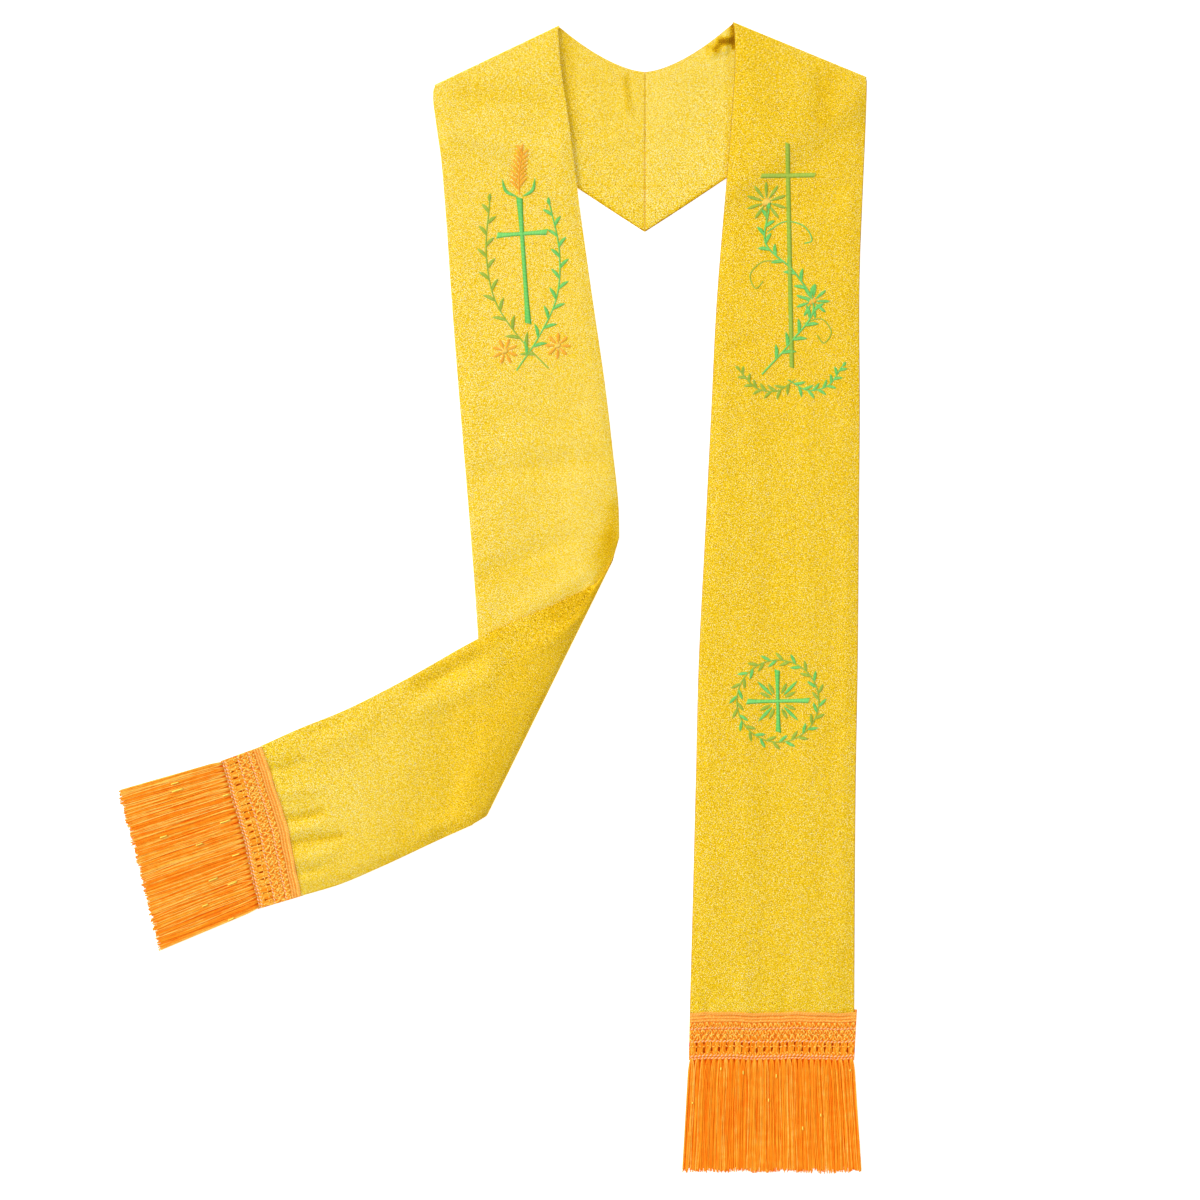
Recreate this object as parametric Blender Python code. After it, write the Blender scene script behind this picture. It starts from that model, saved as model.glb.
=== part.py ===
# A fringed clerical stole, laid flat with its left end turned over on itself.
# Places are written in millimetres as (out, down): out from the centre-back seam
# towards that half's shoulder, down from the level of the neck points.
# The cloth is a wall of even thickness through rows of points across the strip.

import math

import bmesh
import bpy
import numpy as np

MM = 0.001
LEFT, RIGHT = -1, 1

# Where the seam and the neck points lie from the middle of the part's footprint.
SEAM_X = 152.44
NECK_Y = 575.98

# Cloth
WALL = 2.0
SEAM_GAP = 0.3
LAYER_STEP = 2.6
FLOOR_LAYER = WALL / 2
UPPER_LAYER = FLOOR_LAYER + LAYER_STEP
PRESSED_RADIUS = LAYER_STEP / 2
COLUMNS = 13
CLEAR_OF_EDGE = 16.0
FALL_WIDTH = 30.0

# Back yoke
NECK_DEPTH = 50.0
NECK_POWER = 1.6
BACK_POINT_DOWN = 210.0
YOKE_EDGE_BOW = 3.0
YOKE_ROWS = 8
FOLD_ROWS = 6
LEVEL_DOWN = 250.0
SLANTED_ROWS = 16
LEVEL_STEP = 46.0

# Edges of each leg where it hangs from the shoulder fold: (down, out).
SHOULDER = {RIGHT: ((88.5, 0.0), (222.0, 55.0)), LEFT: ((86.0, 3.5), (210.5, 63.0))}
INNER_EDGE = {
    RIGHT: ((0, 89), (30, 90), (106, 86), (178, 80), (278, 72), (398, 66), (518, 60),
            (638, 54), (758, 51), (878, 48), (991, 45)),
    LEFT: ((4, 87), (43, 84), (98, 76), (178, 66), (278, 52), (368, 39), (428, 32),
           (488, 26), (508, 24.5), (527, 25.5)),
}
OUTER_EDGE = {
    RIGHT: ((55, 222), (98, 221), (158, 218.5), (248, 215), (398, 215), (518, 214),
            (638, 213), (758, 211), (878, 210), (991, 209.5)),
    LEFT: ((63, 210.5), (74, 211.5), (98, 209), (138, 203.5), (178, 200), (278, 193),
           (368, 186), (428, 181), (488, 176), (608, 167), (793, 159)),
}
HEM_DOWN = 991.0

# Turned-over end of the left leg
TURN_INNER, TURN_OUTER = (28.0, 531.0), (158.0, 794.5)
TURN_RADIUS = (3.0, 2.0)
SLIDE_BEFORE, SLIDE_AFTER = (9.0, 3.0), (21.0, 5.0)
TURN_ROWS = 7
TURNED_ROWS = 15
SETTLE_WIDTH = 36.0
TURNED_TOP = ((41, 551), (50, 562), (61, 569), (94, 584), (143, 605), (167, 617),
              (244, 660), (304, 690), (344, 706), (384, 724))
TURNED_FOOT = ((163, 798), (204, 817), (264, 845), (304, 862), (344, 874))
HEM_BOW = 5.0
HEM_BOW_LENGTH = 90.0

# Fringe trim: the braid's corners in the order cloth inner, cloth outer, strand
# inner, strand outer, then the ends of the strand tips.
BRAID = {
    RIGHT: ((45.0, 991.3), (212.0, 991.3), (44.0, 1038.0), (209.5, 1038.0)),
    LEFT: ((384.6, 724.6), (345.0, 874.6), (424.0, 739.0), (386.5, 887.0)),
}
TIPS = {RIGHT: ((37.5, 1146.0), (217.5, 1147.0)), LEFT: ((523.5, 767.5), (483.5, 927.0))}
BRAID_BOW = {RIGHT: 0.0, LEFT: HEM_BOW}
# Height of the braid's top: (share of its depth, height), with LADDER on the open bars.
LADDER = None
BRAID_PROFILE = ((0.0, 1.6), (0.04, 2.1), (0.28, 2.1), (0.32, 2.7), (0.36, 1.8),
                 (0.54, 1.9), (0.58, 2.7), (0.62, LADDER), (0.84, LADDER), (0.88, 2.7),
                 (0.93, 1.7), (1.0, 1.6))
LADDER_BARS = 22
BAR_HEIGHT, SLOT_HEIGHT = 2.3, 1.1

STRANDS = 80
STRIP_DEPTH = 2.2
STRIP_HEIGHT = 1.9
STRAND_WIDTH = 1.15
STRAND_HEIGHT = 0.95
LOW_STRAND, HIGH_STRAND = 0.75, 2.25
STRAND_STATIONS = (0.3, 0.66)
STRAND_SWAY = 0.8
UNEVEN_TIPS = 5.0


def clear_scene():
    for obj in list(bpy.data.objects):
        bpy.data.objects.remove(obj, do_unlink=True)


def material(name, colour, roughness, metallic):
    made = bpy.data.materials.new(name)
    made.use_nodes = True
    shader = made.node_tree.nodes["Principled BSDF"]
    shader.inputs["Base Color"].default_value = (*colour, 1.0)
    shader.inputs["Roughness"].default_value = roughness
    shader.inputs["Metallic"].default_value = metallic
    return made


def smooth(x):
    x = np.clip(x, 0.0, 1.0)
    return x * x * (3.0 - 2.0 * x)


def edge_out(rows, down):
    downs, outs = zip(*rows)
    return np.interp(down, downs, outs)


def along(rows, share):
    """The point at this share of the length of an edge."""
    points = np.array(rows, float)
    steps = np.linalg.norm(np.diff(points, axis=0), axis=1)
    travelled = np.concatenate([[0.0], np.cumsum(steps)])
    at = share * travelled[-1]
    return np.array([np.interp(at, travelled, points[:, k]) for k in range(2)])


def across(inner, outer):
    """Evenly spaced points from the inner to the outer edge."""
    share = np.linspace(0.0, 1.0, COLUMNS)[:, None]
    return (1.0 - share) * np.array(inner) + share * np.array(outer)


def row(plan, heights, normal):
    """A row of the cloth's middle surface, with the direction in which its face looks."""
    heights = np.broadcast_to(heights, len(plan))
    points = np.column_stack([plan, heights])
    return points, np.broadcast_to(normal, points.shape)


def fold_normal(inner, outer, towards):
    """The level direction square to a fold line, on the side of the point towards."""
    line = np.array(outer, float) - np.array(inner, float)
    square = np.array([line[1], -line[0]]) / np.linalg.norm(line)
    if square @ (np.array(towards, float) - np.array(inner, float)) < 0.0:
        square = -square
    return square


def beyond_yoke(plan, side):
    """How far each point lies past the yoke's lower edge, which the leg covers."""
    start = np.array([0.0, BACK_POINT_DOWN])
    end = np.array(SHOULDER[side][1])
    square = fold_normal(start, end, (end[0], BACK_POINT_DOWN + end[0]))
    return (plan - start) @ square


def step_down(distance):
    """Height of an upper layer that falls to the floor past the edge below it."""
    return UPPER_LAYER - LAYER_STEP * smooth((distance - CLEAR_OF_EDGE) / FALL_WIDTH)


def yoke_rows(side, fold_inner, fold_outer):
    rows = []
    start = SEAM_GAP / 2
    for share in np.linspace(0.0, 1.0, YOKE_ROWS):
        neck_down = NECK_DEPTH + (fold_inner[1] - NECK_DEPTH) * share**NECK_POWER
        inner = (start + share * (fold_inner[0] - start), neck_down)
        outer = (1 - share) * np.array([start, BACK_POINT_DOWN]) + share * fold_outer
        outer[1] += YOKE_EDGE_BOW * 4.0 * share * (1.0 - share)
        rows.append(row(across(inner, outer), FLOOR_LAYER, (0.0, 0.0, 1.0)))
    return rows


def shoulder_rows(side):
    """The yoke, its pressed fold at the shoulder and the first row of the leg."""
    inner, outer = (np.array(end) for end in SHOULDER[side])
    square = fold_normal(inner, outer, (inner[0] + 9.0, inner[1] - 99.0))
    inset = (PRESSED_RADIUS + WALL / 2) * square
    centre_inner, centre_outer = inner - inset, outer - inset
    rows = yoke_rows(side, centre_inner, centre_outer)
    for angle in np.linspace(0.0, math.pi, FOLD_ROWS + 1)[1:]:
        reach = PRESSED_RADIUS * math.sin(angle) * square
        height = FLOOR_LAYER + PRESSED_RADIUS * (1.0 - math.cos(angle))
        normal = (*(-math.sin(angle) * square), math.cos(angle))
        plan = across(centre_inner, centre_outer) + reach
        rows.append(row(plan, height, normal))
    return rows, centre_inner[1], centre_outer[1]


def leg_row(side, inner_down, outer_down):
    inner = (edge_out(INNER_EDGE[side], inner_down), inner_down)
    outer = (edge_out(OUTER_EDGE[side], outer_down), outer_down)
    plan = across(inner, outer)
    return row(plan, step_down(beyond_yoke(plan, side)), (0.0, 0.0, -1.0))


def leg_rows(side, inner_start, outer_start, inner_end, outer_end):
    """Rows that turn from the slant of the shoulder to level, and then to the end's slant."""
    rows = []
    for share in np.linspace(0.0, 1.0, SLANTED_ROWS + 1)[1:]:
        inner_down = inner_start + share * (LEVEL_DOWN - inner_start)
        outer_down = outer_start + share * (LEVEL_DOWN - outer_start)
        rows.append(leg_row(side, inner_down, outer_down))
    steps = math.ceil((outer_end - LEVEL_DOWN) / LEVEL_STEP)
    for share in np.linspace(0.0, 1.0, steps + 1)[1:]:
        inner_down = LEVEL_DOWN + share * (inner_end - LEVEL_DOWN)
        outer_down = LEVEL_DOWN + share * (outer_end - LEVEL_DOWN)
        rows.append(leg_row(side, inner_down, outer_down))
    return rows


def turn_rows():
    """The roll of the left leg where its end is turned over, tighter towards the outer edge."""
    inner, outer = np.array(TURN_INNER), np.array(TURN_OUTER)
    line = (outer - inner) / np.linalg.norm(outer - inner)
    square = fold_normal(inner, outer, (inner[0] - 99.0, inner[1] + 9.0))
    share = np.linspace(0.0, 1.0, COLUMNS)[:, None]
    radius = (1 - share) * TURN_RADIUS[0] + share * TURN_RADIUS[1]
    before = (1 - share) * SLIDE_BEFORE[0] + share * SLIDE_BEFORE[1]
    after = (1 - share) * SLIDE_AFTER[0] + share * SLIDE_AFTER[1]
    centre = across(inner, outer) - (radius + WALL / 2) * square
    rows = []
    for angle in np.linspace(0.0, math.pi, TURN_ROWS):
        slide = -before + (before + after) * angle / math.pi
        plan = centre + slide * line + radius * math.sin(angle) * square
        heights = FLOOR_LAYER + radius[:, 0] * (1.0 - math.cos(angle))
        normal = (*(math.sin(angle) * square), -math.cos(angle))
        rows.append(row(plan, heights, normal))
    return rows


def turned_rows(first):
    """The turned-over end, from the roll across the leg and down to the floor."""
    plan_first = first[0][:, :2]
    roll_height = first[0][:, 2]
    rows = []
    for share in np.linspace(0.0, 1.0, TURNED_ROWS + 1)[1:]:
        inner, outer = along(TURNED_TOP, share), along(TURNED_FOOT, share)
        plan = across(inner, outer)
        length = np.linalg.norm(plan - plan_first, axis=1)
        to_hem = (1.0 - share) * length / max(share, 0.01)
        bow = HEM_BOW * (1.0 - smooth(to_hem / HEM_BOW_LENGTH))
        plan[:, 0] -= bow * bow_shape()
        past_leg = plan[:, 0] - edge_out(OUTER_EDGE[LEFT], plan[:, 1])
        settled = 1.0 - smooth(length / SETTLE_WIDTH)
        heights = step_down(past_leg) + (roll_height - UPPER_LAYER) * settled
        rows.append(row(plan, heights, (0.0, 0.0, 1.0)))
    return rows


def bow_shape():
    share = np.linspace(0.0, 1.0, COLUMNS)
    return 4.0 * share * (1.0 - share)


def to_world(points, side):
    x = SEAM_X + side * points[:, 0]
    y = NECK_Y - points[:, 1]
    return np.column_stack([x, y, points[:, 2]]) * MM


def new_object(name, mesh_builder, look, collection):
    mesh = bpy.data.meshes.new(name)
    bmesh.ops.recalc_face_normals(mesh_builder, faces=mesh_builder.faces)
    mesh_builder.to_mesh(mesh)
    mesh_builder.free()
    mesh.materials.append(look)
    obj = bpy.data.objects.new(name, mesh)
    collection.objects.link(obj)
    return obj


def cloth_half(name, side, rows, look, collection):
    """Lofts the wall through one closed ring for each row of the cloth."""
    mesh_builder = bmesh.new()
    rings = []
    for points, normal in rows:
        face = points + normal * WALL / 2
        back = points - normal * WALL / 2
        ring = to_world(np.concatenate([face, back[::-1]]), side)
        rings.append([mesh_builder.verts.new(point) for point in ring])
    for ring, following in zip(rings, rings[1:]):
        for i, vert in enumerate(ring):
            j = (i + 1) % len(ring)
            mesh_builder.faces.new((vert, ring[j], following[j], following[i]))
    for ring in (rings[0], rings[-1]):
        for i in range(COLUMNS - 1):
            mesh_builder.faces.new((ring[i], ring[i + 1], ring[-i - 2], ring[-i - 1]))
    return new_object(name, mesh_builder, look, collection)


def braid_point(side, share, depth):
    """A point of the braid, by its share of the width and of the depth."""
    cloth_inner, cloth_outer, strand_inner, strand_outer = np.array(BRAID[side])
    inner = (1 - depth) * cloth_inner + depth * strand_inner
    outer = (1 - depth) * cloth_outer + depth * strand_outer
    point = (1 - share) * inner + share * outer
    point[0] -= BRAID_BOW[side] * 4.0 * share * (1.0 - share) * (1.0 - 0.6 * depth)
    return point


def braid(name, side, look, collection):
    """The woven header of the trim: flat below, with its cords and ladder bars raised."""
    mesh_builder = bmesh.new()
    shares = np.linspace(0.0, 1.0, 2 * LADDER_BARS + 1)
    top = []
    for depth, height in BRAID_PROFILE:
        plan = np.array([braid_point(side, share, depth) for share in shares])
        ladder = np.where(np.arange(len(shares)) % 2 == 0, BAR_HEIGHT, SLOT_HEIGHT)
        heights = ladder if height is LADDER else np.full(len(shares), height)
        points = to_world(np.column_stack([plan, heights]), side)
        top.append([mesh_builder.verts.new(point) for point in points])
    for line, following in zip(top, top[1:]):
        for i in range(len(shares) - 1):
            mesh_builder.faces.new((line[i], line[i + 1], following[i + 1], following[i]))
    rim = top[0] + [line[-1] for line in top[1:-1]] + top[-1][::-1]
    rim += [line[0] for line in top[-2:0:-1]]
    foot = [mesh_builder.verts.new((vert.co.x, vert.co.y, 0.0)) for vert in rim]
    for i, vert in enumerate(rim):
        j = (i + 1) % len(rim)
        mesh_builder.faces.new((vert, rim[j], foot[j], foot[i]))
    mesh_builder.faces.new(foot)
    return new_object(name, mesh_builder, look, collection)


def strand_rings(side, index, wander):
    """Four-sided sections of one strand, from its root in the strip to its pointed tip."""
    share = (index + 0.5) / STRANDS
    root = braid_point(side, share, 1.0)
    tip_inner, tip_outer = np.array(TIPS[side])
    tip = (1 - share) * tip_inner + share * tip_outer
    width_line = tip_outer - tip_inner
    width_line = width_line / np.linalg.norm(width_line)
    heading = (tip - root) / np.linalg.norm(tip - root)
    tip = tip + heading * UNEVEN_TIPS * wander.uniform(-1.0, 1.0)
    sway = STRAND_SWAY * wander.uniform(-1.0, 1.0)
    level = HIGH_STRAND if index % 2 else LOW_STRAND
    rings = []
    for station in STRAND_STATIONS:
        centre = (1 - station) * root + station * tip
        centre = centre + width_line * sway * smooth((station - 0.2) / 0.5)
        half = width_line * STRAND_WIDTH / 2
        low, high = level - STRAND_HEIGHT / 2, level + STRAND_HEIGHT / 2
        rings.append([(*(centre - half), low), (*(centre + half), low),
                      (*(centre + half), high), (*(centre - half), high)])
    return rings, (*(tip + width_line * sway), level)


def strip_lines(side, mesh_builder):
    """The four long edges of the strip, with a cut at each side of every strand."""
    depth_mm = np.linalg.norm(braid_point(side, 0.5, 1.0) - braid_point(side, 0.5, 0.0))
    width_mm = np.linalg.norm(braid_point(side, 1.0, 1.0) - braid_point(side, 0.0, 1.0))
    middles = (np.arange(STRANDS) + 0.5) / STRANDS
    half = STRAND_WIDTH / 2 / width_mm
    cuts = [0.0, *np.column_stack([middles - half, middles + half]).ravel(), 1.0]
    back = 1.0 + SEAM_GAP / depth_mm
    front = back + STRIP_DEPTH / depth_mm
    lines = []
    for depth, height in ((back, 0.0), (front, 0.0), (front, STRIP_HEIGHT),
                          (back, STRIP_HEIGHT)):
        plan = np.array([braid_point(side, share, depth) for share in cuts])
        points = to_world(np.column_stack([plan, np.full(len(plan), height)]), side)
        lines.append([mesh_builder.verts.new(point) for point in points])
    return lines


def fringe(name, side, look, collection):
    """Strands drawn out of the cells of a narrow strip that lies along the braid."""
    mesh_builder = bmesh.new()
    wander = np.random.default_rng(7 + side)
    lines = strip_lines(side, mesh_builder)
    back_low, front_low, front_high, back_high = lines
    for line, following in zip(lines, lines[1:] + lines[:1]):
        every = 2 if line is front_low else 1
        for i in range(0, len(line) - 1, every):
            mesh_builder.faces.new((line[i], line[i + 1], following[i + 1], following[i]))
    for end in (0, -1):
        mesh_builder.faces.new([line[end] for line in lines])
    for index in range(STRANDS):
        first = 2 * index + 1
        ring = [front_low[first], front_low[first + 1],
                front_high[first + 1], front_high[first]]
        sections, tip = strand_rings(side, index, wander)
        for section in sections:
            points = to_world(np.array(section), side)
            following = [mesh_builder.verts.new(point) for point in points]
            for i in range(4):
                j = (i + 1) % 4
                mesh_builder.faces.new((ring[i], ring[j], following[j], following[i]))
            ring = following
        point = mesh_builder.verts.new(to_world(np.array([tip]), side)[0])
        for i in range(4):
            mesh_builder.faces.new((ring[i], ring[(i + 1) % 4], point))
    return new_object(name, mesh_builder, look, collection)


clear_scene()
stole = bpy.data.collections.new("clerical_stole")
bpy.context.scene.collection.children.link(stole)
gold_lame = material("gold_lame", (0.85, 0.55, 0.05), 0.45, 0.3)
orange_braid = material("orange_braid", (0.90, 0.28, 0.05), 0.6, 0.0)
orange_thread = material("orange_thread", (0.90, 0.22, 0.02), 0.5, 0.0)

right_rows, inner_start, outer_start = shoulder_rows(RIGHT)
right_rows += leg_rows(RIGHT, inner_start, outer_start, HEM_DOWN, HEM_DOWN)
cloth_half("right_half", RIGHT, right_rows, gold_lame, stole)

left_rows, inner_start, outer_start = shoulder_rows(LEFT)
rolled = turn_rows()
left_rows += leg_rows(LEFT, inner_start, outer_start, rolled[0][0][0, 1],
                      rolled[0][0][-1, 1])[:-1]
left_rows += rolled
left_rows += turned_rows(rolled[-1])
cloth_half("left_half", LEFT, left_rows, gold_lame, stole)

for side, word in ((RIGHT, "right"), (LEFT, "left")):
    braid(word + "_header", side, orange_braid, stole)
    fringe(word + "_fringe", side, orange_thread, stole)
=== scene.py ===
# A fringed clerical stole in gold lame, laid flat with one end turned over, from above.
# Places on it are (out, down) in millimetres: out from the centre-back seam towards that
# half's shoulder, down from the level of the neck points. Heights are above the table.

import math

import bmesh
import bpy
import numpy as np
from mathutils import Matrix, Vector
from mathutils.bvhtree import BVHTree


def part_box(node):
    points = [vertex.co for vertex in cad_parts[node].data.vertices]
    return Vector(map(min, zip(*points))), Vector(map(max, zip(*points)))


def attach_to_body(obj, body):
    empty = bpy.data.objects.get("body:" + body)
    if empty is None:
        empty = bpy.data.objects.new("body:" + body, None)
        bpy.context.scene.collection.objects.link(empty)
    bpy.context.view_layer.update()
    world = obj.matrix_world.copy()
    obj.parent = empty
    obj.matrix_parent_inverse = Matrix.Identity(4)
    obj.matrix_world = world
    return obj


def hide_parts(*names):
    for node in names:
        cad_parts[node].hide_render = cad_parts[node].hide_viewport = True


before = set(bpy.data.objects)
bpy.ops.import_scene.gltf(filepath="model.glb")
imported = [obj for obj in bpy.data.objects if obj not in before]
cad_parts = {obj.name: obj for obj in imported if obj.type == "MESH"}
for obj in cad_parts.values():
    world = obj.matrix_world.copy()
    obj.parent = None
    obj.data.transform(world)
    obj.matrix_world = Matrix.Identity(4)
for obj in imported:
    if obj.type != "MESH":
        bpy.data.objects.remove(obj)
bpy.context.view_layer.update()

# The gold cloth. Each half is one strip of lame, polyester woven with flat metallic thread:
# from the centre-back seam over a pressed fold at the shoulder and down the leg. The left
# end is turned over by hand in a soft roll, so its other side shows.
MM = 0.001
LEFT, RIGHT = -1, 1
WORD = {LEFT: "left", RIGHT: "right"}
SEAM_GAP = 0.3
SEAM_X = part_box("right_half")[0][0] / MM - SEAM_GAP / 2
NECK_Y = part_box("right_half")[1][1] / MM
CLOTH, TABLE_GAP = 1.3, 0.05
COLUMNS, ROW_STEP = 60, 3.2
LAYER_STEP, FLOOR_LAYER = 2.6, 1.0
UPPER_LAYER = FLOOR_LAYER + LAYER_STEP
PRESSED_RADIUS, PRESSED_ROWS = LAYER_STEP / 2, 13
PRESSED_SHARE, FOLD_INSET, LIFT_ROWS = 0.07, 1.0, 6.0
CLEAR_OF_EDGE, FALL_WIDTH = 7.0, 30.0
FADE_INSIDE, YOKE_FADE, LEG_FADE = 4.0, 8.0, 10.0
EDGE_SOFTNESS, CREASE_AT_EDGE = 13.0, 0.3
BROAD_WAVE, SMALL_WAVE = 0.18, 0.10
NECK_DEPTH, NECK_POWER = 50.0, 1.6
BACK_POINT_DOWN, YOKE_EDGE_BOW = 210.0, 3.0
LEVEL_DOWN, HEM_DOWN = 250.0, 991.0
PUFF = {"yoke": 0.25, "leg": 0.9, "turned": 1.0}
# Painted light and shade: each part's gold is painted paler or deeper by how the light falls on
# it.
SHADE = {(RIGHT, "yoke"): 0.05, (LEFT, "yoke"): 0.01, (RIGHT, "leg"): -0.09,
         (LEFT, "leg"): 0.0, (LEFT, "turned"): -0.02}
# The turned end is painted deeper near the roll, a painted shade that fades over this length.
TURN_SHADE, TURN_SHADE_LENGTH = -0.11, 170.0
# Crests are painted a touch paler and troughs deeper, a painted shade by the creases' height.
SHADE_OF_RELIEF = 0.02

# Inner and outer end of each shoulder fold, then each leg's edges as (down, out) rows.
SHOULDER = {RIGHT: ((88.5, 0.0), (222.0, 55.0)), LEFT: ((86.0, 3.5), (210.5, 63.0))}
INNER_EDGE = {
    RIGHT: ((0, 89), (30, 90), (106, 86), (178, 80), (278, 72), (398, 66), (518, 60),
            (638, 54), (758, 51), (878, 48), (991, 45)),
    LEFT: ((4, 87), (43, 84), (98, 76), (178, 66), (278, 52), (368, 39), (428, 32),
           (488, 26), (516, 25.4)),
}
OUTER_EDGE = {
    RIGHT: ((55, 222), (98, 221), (158, 218.5), (248, 215), (398, 215), (518, 214),
            (638, 213), (758, 211), (878, 210), (991, 209.5)),
    LEFT: ((63, 210.5), (74, 211.5), (98, 209), (138, 203.5), (178, 200), (278, 193),
           (368, 186), (428, 181), (488, 176), (608, 167), (793, 159)),
}

# The roll where the left end is turned over, as (share of the strip's width, millimetres):
# how far it reaches out to the fold line, its height, and its slide along that line. Its
# profile is a path of (shares of the reach, shares of the height).
FOLD_INNER, FOLD_OUTER = (28.0, 531.0), (158.0, 794.5)
ROLL_REACH = ((0.0, 4.0), (0.35, 18.0), (0.75, 17.0), (1.0, 8.0))
ROLL_HEIGHT = ((0.0, 3.8), (0.35, 5.6), (0.75, 5.4), (1.0, 4.0))
ROLL_PROFILE = ((-1.0, 0.0), (-0.45, 0.0), (-0.12, 0.10), (0.0, 0.36), (-0.10, 0.66),
                (-0.40, 0.88), (-1.0, 1.0))
SLIDE_BEFORE = ((0.0, 15.0), (0.35, 27.0), (0.75, 24.0), (1.0, 15.0))
SLIDE_AFTER = ((0.0, 37.0), (0.35, 38.0), (0.75, 26.0), (1.0, 12.0))
ROLL_ROWS, SHADED_FROM = 33, 0.6
BLEND_LENGTH, SETTLE_WIDTH = 90.0, 75.0
TURNED_LENGTH = 300.0
TURNED_TOP = ((50.6, 561.1), (61, 568), (72, 573.5), (94, 584), (143, 605), (167, 617),
              (244, 660), (304, 690), (344, 706), (384, 724))
TURNED_FOOT = ((170.5, 801.8), (204, 817), (264, 845), (304, 862), (344, 874))
HEM_BOW, HEM_BOW_LENGTH = 5.0, 90.0

# Soft creases: layer, out and down of both ends, half width, height (a trough if negative).
CREASES = {
    LEFT: (
        ("leg", 182, 72, 90, 78, 12, -0.8),
        ("leg", 196, 112, 84, 128, 13, 1.1),
        ("leg", 168, 96, 120, 88, 10, 0.5),
        ("leg", 169, 453, 44, 438, 10, -0.8),
        ("leg", 150, 424, 70, 414, 12, 0.5),
        ("leg", 165, 556, 79, 518, 11, -1.1),
        ("leg", 120, 588, 60, 552, 10, 1.0),
        ("leg", 62, 470, 66, 548, 25, 1.2),
        ("leg", 26, 498, 34, 552, 10, -0.5),
        ("leg", 140, 300, 118, 372, 14, 0.5),
        ("yoke", 88, 20, 72, 140, 11, 0.9),
        ("yoke", 24, 50, 15, 88, 4.5, 0.5),
        ("yoke", 16, 52, 8, 92, 3.5, -0.25),
        ("yoke", 58, 124, 4, 114, 6, 0.5),
        ("yoke", 56, 134, 6, 125, 4, -0.25),
        ("yoke", 30, 108, 26, 112, 7, 0.6),
        ("yoke", 60, 60, 48, 100, 9, 0.5),
        ("turned", 224, 663, 164, 634, 7, -1.3),
        ("turned", 226, 688, 158, 656, 11, 1.3),
        ("turned", 152, 626, 146, 632, 12, 1.1),
        ("turned", 335, 713, 292, 695, 4, -0.8),
        ("turned", 330, 728, 280, 704, 7, 0.6),
        ("turned", 377, 749, 342, 741, 4, -1.2),
        ("turned", 368, 771, 330, 765, 7, 1.1),
        ("turned", 362, 797, 326, 791, 4.2, -1.4),
        ("turned", 356, 809, 330, 803, 4, 0.8),
        ("turned", 355, 821, 306, 814, 4.6, -1.4),
        ("turned", 351, 838, 318, 832, 6, 1.0),
        ("turned", 348, 852, 326, 847, 3.6, -0.9),
        ("turned", 216, 806, 176, 792, 8, 1.2),
        ("turned", 250, 740, 210, 800, 22, 0.9),
        ("turned", 300, 770, 262, 830, 18, 0.7),
    ),
    RIGHT: (
        ("yoke", 65, 16, 67, 34, 3.0, 1.5),
        ("yoke", 73, 12, 73, 30, 2.8, 2.0),
        ("yoke", 81, 8, 80, 30, 3.0, 2.1),
        ("yoke", 60, 40, 82, 52, 5, 0.7),
        ("yoke", 30, 60, 12, 140, 16, 0.4),
        ("leg", 181, 60, 178, 96, 11, -0.8),
        ("leg", 158, 56, 152, 104, 11, 0.7),
        ("leg", 212, 150, 180, 190, 12, -0.6),
        ("leg", 205, 180, 150, 214, 12, 0.6),
        ("leg", 78, 330, 110, 322, 8, -0.8),
        ("leg", 72, 372, 84, 520, 12, 0.5),
        ("leg", 106, 330, 100, 960, 7, 0.45),
        ("leg", 128, 420, 120, 975, 6, -0.35),
        ("leg", 163, 360, 156, 980, 8, 0.45),
        ("leg", 190, 520, 184, 900, 7, -0.4),
        ("leg", 54, 842, 110, 834, 14, 0.4),
        ("leg", 211, 700, 190, 712, 8, -0.7),
        ("leg", 60, 975, 64, 990, 5, -0.8),
        ("leg", 96, 960, 98, 990, 6, 0.6),
        ("leg", 141, 968, 140, 990, 5, -0.6),
        ("leg", 178, 955, 176, 990, 7, 0.6),
        ("leg", 200, 930, 206, 985, 5, -0.7),
    ),
}

# Painted shade: soft lines where the gold is painted deeper, for cloth turned from the light,
# the cast shadow beside a leg's edge, the shade in the neck's crumple and along the yoke's
# lower edge; a row with a positive value is painted paler, where the cloth turns to the light:
# rows as above.
PAINTED_SHADE_LINES = {
    LEFT: (
        ("yoke", 81, 6, 75, 112, 8, -0.12),
        ("yoke", 0, 210.3, 66, 167, 1.6, -0.32),
        ("yoke", 19, 58, 16, 88, 3.4, -0.15),
        ("leg", 182, 72, 96, 79, 11, -0.04),
        ("leg", 31, 486, 35, 530, 9, -0.15),
        ("leg", 36, 516, 46, 538, 9, -0.15),
        ("leg", 165, 556, 100, 548, 9, -0.04),
        ("turned", 50, 561, 146, 606, 10, -0.05),
        ("turned", 58, 574, 80, 590, 16, -0.10),
        ("turned", 290, 775, 345, 800, 40, 0.045),
        ("turned", 150, 612, 226, 662, 10, -0.10),
        ("turned", 362, 797, 326, 791, 4.0, -0.12),
        ("turned", 355, 821, 306, 814, 4.5, -0.12),
    ),
    RIGHT: (
        ("yoke", 87.5, 3, 88.5, 26, 2.0, -0.7),
        ("yoke", 86, 19, 81, 20, 3.8, -0.7),
        ("yoke", 76, 20, 71, 28, 3.8, -0.6),
        ("yoke", 64, 24, 63, 32, 1.8, -0.25),
        ("yoke", 86, 30, 80, 200, 3.0, -0.08),
        ("yoke", 0, 210.3, 81, 156.3, 1.6, -0.36),
        ("leg", 181, 60, 178, 96, 12, -0.06),
        ("leg", 104, 20, 122, 96, 20, -0.03),
    ),
}


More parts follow.
